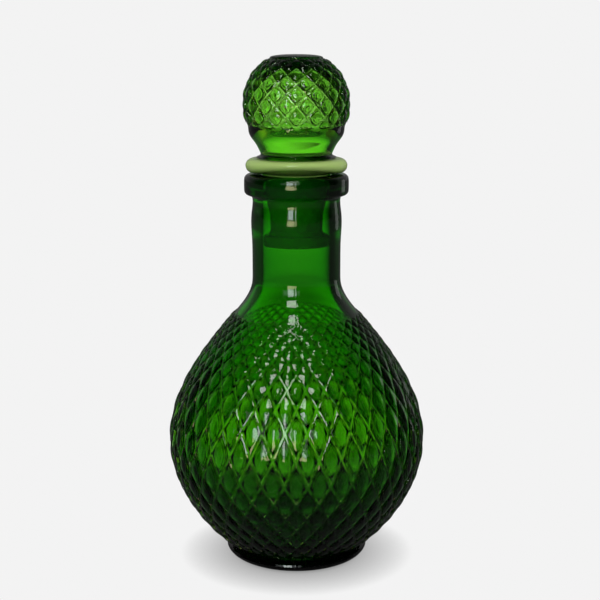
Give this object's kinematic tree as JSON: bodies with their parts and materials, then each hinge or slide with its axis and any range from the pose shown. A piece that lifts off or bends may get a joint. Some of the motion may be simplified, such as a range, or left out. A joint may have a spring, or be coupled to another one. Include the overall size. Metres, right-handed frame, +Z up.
{
  "type": "carafe",
  "caption": "Round glass carafe with a raised diamond pattern, a straight neck and a hollow ball stopper that sits in a soft seal and lifts out.",
  "frame": {"origin": "centre of the foot's resting face", "axes": "+Z up along the axis of the bottle, through the middle of the mouth and the stopper; X and Y are equal directions on the table"},
  "size_m": [0.125, 0.125, 0.2442],
  "materials": {
    "bottle_glass": "clear green pressed glass, glossy",
    "seal_plastic": "soft translucent plastic, pale green, satin",
    "stopper_glass": "clear green pressed glass, glossy"
  },
  "bodies": {
    "bottle": {"bottle": "bottle_glass"},
    "seal": {"seal_sleeve": "seal_plastic"},
    "stopper": {"ball_stopper": "stopper_glass"}
  },
  "joints": [
    {"name": "stopper_lift", "type": "slide", "parent": "bottle", "child": "seal", "axis": [0, 0, 1], "range_m": [0, 0.045]},
    {"name": "stopper_twist", "type": "hinge", "parent": "seal", "child": "stopper", "pos_m": [0, 0, 0.1885], "axis": [0, 0, 1], "continuous": true}
  ]
}
